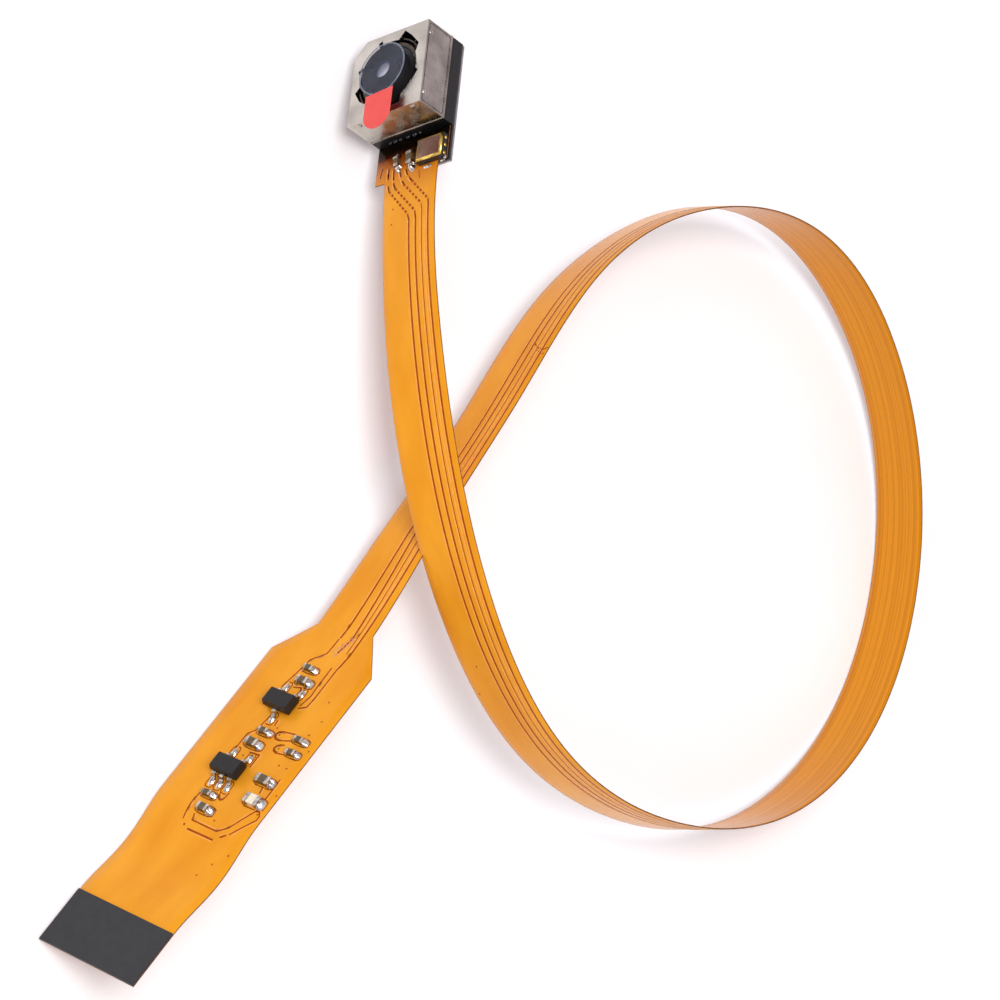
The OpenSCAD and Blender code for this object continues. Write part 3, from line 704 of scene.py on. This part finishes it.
# %% Plastics and ceramics
black_lcp = grained("liquid_crystal_polymer_black", "#050506", "#0B0C0D", (0.35, 0.5), 0.12, 0.006)
barrel_black = grained("lens_barrel_matt_black", "#0C0D10", "#16171B", (0.5, 0.6), 0.15, 0.003)
black_mask = grained("solder_mask_black", "#0A0C0C", "#16191A", (0.2, 0.4), 0.5, 0.01, Coat_Weight=0.4)
black_epoxy = grained("moulded_epoxy_black", "#050506", "#0B0C0E", (0.42, 0.55), 0.08, 0.006)
black_glue = grained("black_glue", "#040405", "#0C0C0E", (0.08, 0.2), 0.4, 0.01)
chip_ceramic = grained("chip_ceramic_fired", "#463A26", "#6A5A3E", (0.35, 0.5), 0.12, 0.004)
cream_ceramic = grained("cream_ceramic_fired", "#E6DCC0", "#F4ECD4", (0.35, 0.5), 0.2, 0.004)
crystal_ceramic = grained("crystal_case_ceramic", "#191513", "#2B2522", (0.35, 0.5), 0.2, 0.004)
silicon = grained("silicon_polished", "#22303A", "#3A4A55", (0.1, 0.2), 0.6)
stiffener_laminate = grained("stiffener_laminate_pressed", "#202225", "#25272A", (0.42, 0.5), 0.8, 0.002)
red_film = grained("polyester_film_red", "#E8463F", "#EC4D46", (0.42, 0.5), 1.5, 0.002)

# %% [markdown]
# The lens looks lavender, because its coating turns back a little violet. Towards one side its
# colour runs to nearly white, a painted highlight for a glint on its curve. The film over it is
# clear but hazy, so what lies under it turns slate blue.

# %% Clear finishes
LENS_Y = 7
LENS_AT = PLACE @ Vector((0, LENS_Y, 5.2))
GLINT_WAY = PLACE.to_3x3() @ Vector((0.58, -0.82, 0))
GLINT_SPAN = 0.65
coated_lens_painted_glint, tree, shader = bare_finish("lens_coated_with_painted_glint", IOR=1.53, Coat_Weight=1.0, Coat_Roughness=0.03)
place = add(tree, "TexCoord").outputs["Object"]
middle = {0: place, 1: LENS_AT * mm}
from_lens = add(tree, "VectorMath", middle, operation="SUBTRACT").outputs["Vector"]
way = {0: from_lens, 1: GLINT_WAY}
side = add(tree, "VectorMath", way, operation="DOT_PRODUCT").outputs["Value"]
reach = GLINT_SPAN * mm
edge = {"Value": side, "From Min": -reach, "From Max": reach}
part = add(tree, "MapRange", edge).outputs["Result"]
# Painted highlight: the colour runs from dark lavender to white across the lens.
tint_to_glint_stops = [(0.0, "#3C4052"), (1.0, "#FBFBFF"), (0.45, "#686C80"), (0.72, "#AEB0BE")]
tint_and_painted_glint = add(tree, "ValToRGB", {"Fac": part}, tint_to_glint_stops).outputs["Color"]
rough = add(tree, "MapRange", {"Value": part, "To Min": 0.06, "To Max": 0.1}).outputs["Result"]
wire(tree, shader, tint_and_painted_glint, rough)

clear_lens = grained(
    "lens_uncoated", "#9FB0B8", "#B4C2C8", (0.05, 0.08), 2.0, Transmission_Weight=0.8
)
blue_filter = grained(
    "filter_glass_blue", "#6E9CC4", "#7FB0D6", (0.04, 0.08), 2.0, Transmission_Weight=0.7
)
clear_film = grained("polyester_film_clear", "#5C6680", "#6A7490", (0.18, 0.28), 1.5, Alpha=0.15)
film_lip = grained("polyester_film_lip", "#8A92A2", "#A8AEBB", (0.2, 0.3), 0.8, Alpha=0.45)

# %% [markdown]
# ## Dress the CAD pieces
# The CAD solids that already have the right shape stay. Each gets its finish, and those given an
# edge size are welded and their edges are softened by a small bevel, as pressed and moulded edges are.

# %% Dress
WELD_GAP = 1e-6
BEVEL_PARTS = 2
BEVEL_FROM = 40


def dress(material, edge_mm, *names):
    """Gives CAD pieces a finish, and softened edges where an edge size is given."""
    for name in names:
        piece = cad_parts[name]
        piece.data.materials.clear()
        piece.data.materials.append(material)
        if edge_mm:
            weld = piece.modifiers.new("weld", "WELD")
            weld.merge_threshold = WELD_GAP
            bevel = piece.modifiers.new("soft_edges", "BEVEL")
            bevel.width = edge_mm * mm
            bevel.segments = BEVEL_PARTS
            bevel.limit_method = "ANGLE"
            bevel.angle_limit = math.radians(BEVEL_FROM)
            bevel.harden_normals = True
    print("dressed in", material.name + ":", ", ".join(names))


dress(nickel_silver, 0.1, "shield_can")
dress(black_lcp, 0.03, "actuator_base", "sensor_holder", "lens_carrier")
dress(magnet_nickel, 0, "magnets")
dress(spring_copper_in_painted_shade, 0, "coil_terminals", "lower_spring", "upper_spring")
dress(copper_wire, 0, "focus_coil")
dress(barrel_black, 0, "lens_barrel", "aperture_ring", "lens_retainer")
dress(coated_lens_painted_glint, 0, "front_lens")
dress(clear_lens, 0, "middle_lens", "rear_lens")
dress(clear_film, 0, "protective_film")
dress(red_film, 0, "pull_tab")
dress(blue_filter, 0, "ir_filter")
dress(silicon, 0, "image_sensor")
dress(black_epoxy, 0.04, "focus_driver", "regulator_bodies")
dress(black_mask, 0.03, "sensor_board")
dress(stainless, 0.03, "back_plate")
dress(crystal_ceramic, 0.03, "crystal_body")
dress(lid_metal, 0, "crystal_lid")
dress(chip_ceramic, 0.03, "board_chips", "tail_chips")
dress(tin_plate, 0.06, "board_chip_ends", "tail_chip_ends", "cream_chip_ends")
dress(black_glue, 0, "seam_glue")
dress(stiffener_laminate, 0.02, "tail_stiffener")
dress(contact_gold, 0, "contact_fingers")
dress(tin_plate, 0.03, "regulator_leads")
dress(cream_ceramic, 0.05, "cream_chip")

# %% [markdown]
# ## Small parts of the head
# The crystal's lid sits in a gold seal ring, and gold castellations stand on the side of its
# case. They and the can's press dimples are low domes.

# %% Crystal's gold and the can's dimples
CRYSTAL_AT = (2.5, 0.55)
CRYSTAL_SIZE = (3, 2.35)
CASE_TOP = FLEX_T / 2 + 0.6
LID_TOP = CASE_TOP + 0.2
RING_STEPS = [
    (0.05, CASE_TOP), (0.05, CASE_TOP + 0.075),
    (0.2, LID_TOP + 0.004), (0.24, LID_TOP + 0.006), (0.25, LID_TOP - 0.02),
]
STRIPS_AT = (1.3, 0.55, -0.25)
STRIP_Z = 0.3
STRIP_SIZE = (0.17, 0.06)
CAN_X = 4.25
CAN_Y = (2.75, 11.25)
CAN_Z = (1.17, 4.47)
DIMPLE_OFF = 3.1
DIMPLE_Z = 4.02
DIMPLE_SIZE = (0.25, 0.11)
DOME_PARTS = 12
DOME_RINGS = 4
DOME_TIP = 1e-3


def on_head(x, y, z):
    """A place given in the head's own frame, in metres in the part's frame."""
    return (PLACE @ Vector((x, y, z))) * mm


def seal_ring(bm):
    """A square ring in steps; each step is its inset from the case's outline and its height."""
    rows = []
    for inset, z in RING_STEPS:
        a, b = CRYSTAL_SIZE[0] / 2 - inset, CRYSTAL_SIZE[1] / 2 - inset
        corners = [(a, b), (-a, b), (-a, -b), (a, -b)]
        rows.append([on_head(CRYSTAL_AT[0] + x, CRYSTAL_AT[1] + y, z) for x, y in corners])
    skin(bm, rows, closed=True)


def dome(bm, centre, out, radius, height):
    """A low dome on a face; centre is in the head's frame and out points off the face."""
    out = Vector(out)
    first = out.orthogonal().normalized()
    second = out.cross(first)
    rows = []
    for k in range(DOME_RINGS + 1):
        turn = math.radians(90 * k / DOME_RINGS)
        reach = max(DOME_TIP, math.cos(turn)) * radius
        ring = []
        for j in range(DOME_PARTS):
            angle = math.radians(360 * j / DOME_PARTS)
            way = first * math.cos(angle) + second * math.sin(angle)
            point = Vector(centre) + way * reach + out * height * math.sin(turn)
            ring.append((PLACE @ point) * mm)
        rows.append(ring)
    skin(bm, rows, closed=True)


def case_strips(bm):
    """Gold strips on the case's right side."""
    side = CRYSTAL_AT[0] + CRYSTAL_SIZE[0] / 2
    for y in STRIPS_AT:
        dome(bm, (side, y, STRIP_Z), (1, 0, 0), *STRIP_SIZE)


def dimples(bm):
    """Two dimples on the can's right wall and two on its lower wall."""
    for off in (-DIMPLE_OFF, DIMPLE_OFF):
        dome(bm, (CAN_X, LENS_Y + off, DIMPLE_Z), (1, 0, 0), *DIMPLE_SIZE)
    for off in (-DIMPLE_OFF, DIMPLE_OFF):
        dome(bm, (off, CAN_Y[0], DIMPLE_Z), (0, -1, 0), *DIMPLE_SIZE)


# %% [markdown]
# A thin line of painted shade, flecked with painted glints, stands where the can's right wall turns
# into its rounded bent edges. The film's cut rim is a little thicker and milkier than its middle, so
# a thin ring goes round it.

# %% Bend line and film rim
BEND_R = 0.2
BEND_W = 0.1
BEND_LIFT = 0.004
BEND_PARTS = 24
RIM_R = 2.56
RIM_Z = 5.29
RIM_SIZE = (0.085, 0.028)
RIM_PARTS = 96
RIM_SIDES = 8


def bend_line(bm):
    """A thin closed line of painted shade on the can's right wall, a little inside its edges."""
    rows = []
    for inset in (BEND_R, BEND_R + BEND_W):
        row = []
        for k in range(BEND_PARTS):
            turn = math.radians(360 * (k + 0.5) / BEND_PARTS)
            side, rise = math.cos(turn), math.sin(turn)
            y = CAN_Y[1] - inset - BEND_R if side > 0 else CAN_Y[0] + inset + BEND_R
            z = CAN_Z[1] - inset - BEND_R if rise > 0 else CAN_Z[0] + inset + BEND_R
            row.append(on_head(CAN_X + BEND_LIFT, y + BEND_R * side, z + BEND_R * rise))
        rows.append(row)
    skin(bm, rows, closed=True)


def film_rim(bm):
    """A flattened ring round the film's edge."""
    rows = []
    for k in range(RIM_PARTS + 1):
        angle = math.radians(360 * k / RIM_PARTS)
        ring = []
        for j in range(RIM_SIDES):
            turn = math.radians(360 * j / RIM_SIDES)
            r = RIM_R + RIM_SIZE[0] * math.cos(turn)
            z = RIM_Z + RIM_SIZE[1] * math.sin(turn)
            ring.append(on_head(r * math.sin(angle), LENS_Y + r * math.cos(angle), z))
        rows.append(ring)
    skin(bm, rows, closed=True)


keep(mesh_of("crystal_seal_ring", seal_ring), "gold_plate", gold_plate)
keep(mesh_of("crystal_side_strips", case_strips), "gold_plate", gold_plate)
keep(mesh_of("can_dimples", dimples), "nickel_silver", nickel_silver)
keep(mesh_of("can_bend_painted_shade", bend_line), "nickel_silver", bend_shade_and_glint)
keep(mesh_of("film_rim", film_rim), "clear_film", film_lip, body="lens_unit")

# %% [markdown]
# ## Solder
# Molten solder pulls itself into smooth mounds. At a chip's end it leans on the end like a
# drop: full at the chip, round at its tip. Over a lead's foot it is a low oval. Each mound is a
# grid whose height follows a formula, with a little noise, so that no two shine alike. Its rim
# dips just under the film, so that it meets the film in a clean line.

# %% Solder makers
MOUND_PARTS = 14
OVAL_PARTS = 24
RIM_DIP = 0.012
LUMPS = 0.22
LUMPS_PER_MM = 4.5
LUMP_LAYER = 0.5


def lumpy(x, y):
    """Raises or lowers a mound a little, by noise at its place."""
    return 1 + LUMPS * noise.noise(Vector((x * LUMPS_PER_MM, y * LUMPS_PER_MM, LUMP_LAYER)))


def drop(bm, place, centre, size, turn):
    """Leans on a chip's end at centre and points along turn; size is reach, width, height."""
    spin = Matrix.Rotation(math.radians(turn), 4, "Z")
    turned = place @ Matrix.Translation((*centre, 0)) @ spin
    rows = []
    for out in rows_of(0, 1, 1 / MOUND_PARTS):
        row = []
        for b in rows_of(-1, 1, 2 / MOUND_PARTS):
            x, y = out * size[0], b * size[1] / 2 * math.sqrt(1 - 0.92 * out**2)
            height = size[2] * (1 - out**1.7) * (1 - b**4) * lumpy(x + centre[0], y + centre[1])
            row.append((turned @ Vector((x, y, height - RIM_DIP))) * mm)
        rows.append(row)
    skin(bm, rows, flip=True)


def oval(bm, place, centre, size):
    """A low oval mound; size is its two widths and its height."""
    rows = []
    for r in rows_of(0.001, 1, 1 / MOUND_PARTS):
        row = []
        for k in range(OVAL_PARTS):
            turn = math.radians(360 * k / OVAL_PARTS)
            x, y = r * size[0] / 2 * math.cos(turn), r * size[1] / 2 * math.sin(turn)
            height = size[2] * (1 - r**2.4) * lumpy(x + centre[0], y + centre[1])
            row.append((place @ Vector((centre[0] + x, centre[1] + y, height - RIM_DIP))) * mm)
        rows.append(row)
    skin(bm, rows, closed=True, flip=True)


# %% [markdown]
# The chips are listed as in the CAD part: place across, place down, length, width, height, turn.
# A drop is listed as the end it is on, its reach and its share of the chip's height. The one on
# the right end is the bigger one, as the real ones were dragged that way. A lead's list is its
# package's place, and how far its near and far feet stand to the side.

# %% Solder on the tail and the board
TAIL_CHIPS = [
    (-0.5, 1.1, 1, 0.5, 0.5, 0), (-0.1, 2.45, 1.2, 0.65, 0.6, 2), (-0.15, 8.1, 1, 0.5, 0.5, 3),
    (-0.3, 9.5, 1.3, 0.7, 0.6, 0), (-0.85, 15.3, 1, 0.5, 0.5, 4), (-0.1, 16.65, 1.2, 0.65, 0.6, 0),
    (3.75, 7.65, 1, 0.5, 0.5, 0), (3.9, 9, 1, 0.5, 0.5, 4), (3.4, 12.25, 1.5, 0.75, 0.6, 0),
    (3.85, 14.3, 1.6, 0.95, 0.6, 0),
]
BOARD_CHIPS = [(-1.62, 0.5, 1, 0.5, 0.5, 100), (0, 0.42, 1.25, 0.62, 0.6, 97)]
DROPS = ((0, 0.5, 0.8), (180, 0.3, 0.6))
DROP_INSET = 0.04
DROP_WIDER = 0.3
LEADS = [(-0.45, 5.1, (-0.95, 0.95), (0,)), (-0.55, 12.48, (-0.95, 0.95), (-0.95, 0, 0.95))]
FOOT_AT = 0.85 + 0.72
FOOT_MOUND = (0.62, 1.05, 0.2)
BLOBS = [
    (0.12, -0.5, 0.7, 0.9, 0.45), (-1.5, -0.3, 0.46, 0.6, 0.28), (1.9, -0.9, 1.05, 0.34, 0.16),
    (3.9, -0.5, 0.3, 0.5, 0.25), (3.6, -0.82, 0.6, 0.2, 0.12), (-1.75, 1.35, 0.4, 0.3, 0.2),
]


def chip_drops(bm, place, chips, down):
    """Two drops for each chip; down is -1 where the list counts down the tail, and 1 if not."""
    for across, along, length, width, height, turn in chips:
        for side, reach, rise in DROPS:
            way = math.radians(turn + side)
            off = length / 2 - DROP_INSET
            centre = (across + off * math.cos(way), down * along + off * math.sin(way))
            drop(bm, place, centre, (reach, width + DROP_WIDER, height * rise), turn + side)


def tail_solder(bm):
    """Drops at the tail's chips and ovals over the leads' feet."""
    chip_drops(bm, ON_TAIL, TAIL_CHIPS, -1)
    for across, down, near, far in LEADS:
        for sign, offsets in ((1, near), (-1, far)):
            for off in offsets:
                oval(bm, ON_TAIL, (across + off, sign * FOOT_AT - down), FOOT_MOUND)


def board_solder(bm):
    """Drops at the board's chips, and blobs listed as place, two widths and height."""
    chip_drops(bm, ON_BOARD, BOARD_CHIPS, 1)
    for x, y, *size in BLOBS:
        oval(bm, ON_BOARD, (x, y), size)


tail_mounds = keep(mesh_of("tail_solder_mounds", tail_solder), "solder", solder)
board_mounds = keep(mesh_of("board_solder_mounds", board_solder), "solder", solder)
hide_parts("tail_solder")
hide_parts("board_solder")

# %% [markdown]
# The film is cut back around each soldered pad, and a thin dark brown line is drawn along that
# edge. The edge is a rounded oblong, which a power of five makes nearly square. A chip's edge goes
# past its ends by more than its sides, and is shifted towards its bigger drop.

# %% Pad edges
PAD_LINE_W = 0.1
PAD_POINTS = 16
PAD_FIRST = 11
PAD_POWER = 5
CHIP_PAST = (0.45, 0.16)
CHIP_SHIFT = 0.08
FOOT_PAD = (0.4, 0.66)


def pad_edge(across, down, half_w, half_l):
    """A rounded loop round a pad, as (distance, across) points."""
    loop = []
    for k in range(PAD_POINTS + 1):
        turn = math.radians(360 * k / PAD_POINTS + PAD_FIRST)
        x, y = math.cos(turn), math.sin(turn)
        out = (abs(x) ** PAD_POWER + abs(y) ** PAD_POWER) ** (-1 / PAD_POWER)
        loop.append((TAIL + down + half_l * y * out, across + half_w * x * out))
    return loop


pads = []
for across, down, length, width, *_ in TAIL_CHIPS:
    half = (length / 2 + CHIP_PAST[0], width / 2 + CHIP_PAST[1])
    pads.append((PAD_LINE_W, pad_edge(across + CHIP_SHIFT, down, *half)))
for across, down, near, far in LEADS:
    for sign, offsets in ((-1, near), (1, far)):
        for off in offsets:
            foot = (across + off, down + sign * FOOT_AT)
            pads.append((PAD_LINE_W, pad_edge(*foot, *FOOT_PAD)))
line_pieces.append(keep(mesh_of("pad_edges", strips, pads, FLAT), "polyimide", gap_film))

# %% [markdown]
# ## Floor and light
# The floor is plain pale paper. The room is nearly white overhead and pale lavender lower down,
# and it darkens at the horizon, which gives the metals something to turn back. A soft lamp
# overhead gives the light a side.

# %% Floor and light
FLOOR_HALF = 3
FLOOR_DROP = 0.02


def floor_sheet(bm):
    """A flat square, in metres."""
    bmesh.ops.create_grid(bm, x_segments=4, y_segments=4, size=FLOOR_HALF)


floor_paper = grained("pale_paper", "#F6F6F6", "#FAFAFA", (0.7, 0.8), 30)
floor_mesh = mesh_of("floor", floor_sheet)
floor = bpy.data.objects.new("floor", floor_mesh)
floor_mesh.materials.append(floor_paper)
floor.location.z = -FLOOR_DROP * mm
bpy.context.scene.collection.objects.link(floor)
floor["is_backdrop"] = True

world = bpy.data.worlds.new("soft_white_room")
world.use_nodes = True
tree = world.node_tree
way = add(tree, "TexCoord").outputs["Generated"]
rise = add(tree, "SeparateXYZ", {"Vector": way}).outputs["Z"]
room_stops = [(0.0, "#3A363C"), (1.0, "#E0DEE2"), (0.1, "#7A727C"), (0.2, "#CDBFC8")]
room = add(tree, "ValToRGB", {"Fac": rise}, room_stops).outputs["Color"]
background = tree.nodes["Background"]
tree.links.new(room, background.inputs["Color"])
background.inputs["Strength"].default_value = 1.0
bpy.context.scene.world = world
bpy.context.scene.view_settings.view_transform = "Standard"


def lamp(name, way, distance, size, power):
    """A square lamp that shines at the middle of the view from a direction."""
    light = bpy.data.lights.new(name, "AREA")
    light.size = size
    light.energy = power
    holder = bpy.data.objects.new(name, light)
    way = Vector(way).normalized()
    turned = way.to_track_quat("Z", "Y").to_matrix().to_4x4()
    holder.matrix_world = Matrix.Translation(VIEW_CENTRE + way * distance) @ turned
    bpy.context.scene.collection.objects.link(holder)


lamp("soft_top", (0.06, -0.3, 1.0), 0.5, 0.2, 1.5)

# %% [markdown]
# ## Finish
# The box of the dressed part is printed as its growth over the CAD part's box.

# %% Finish
SEEN_BOX = [list(corner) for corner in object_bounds()]
pairs = zip(SEEN_BOX[0] + SEEN_BOX[1], CAD_BOX[0] + CAD_BOX[1])
print("box growth in mm:", [round((seen - cad) / mm, 2) for seen, cad in pairs])
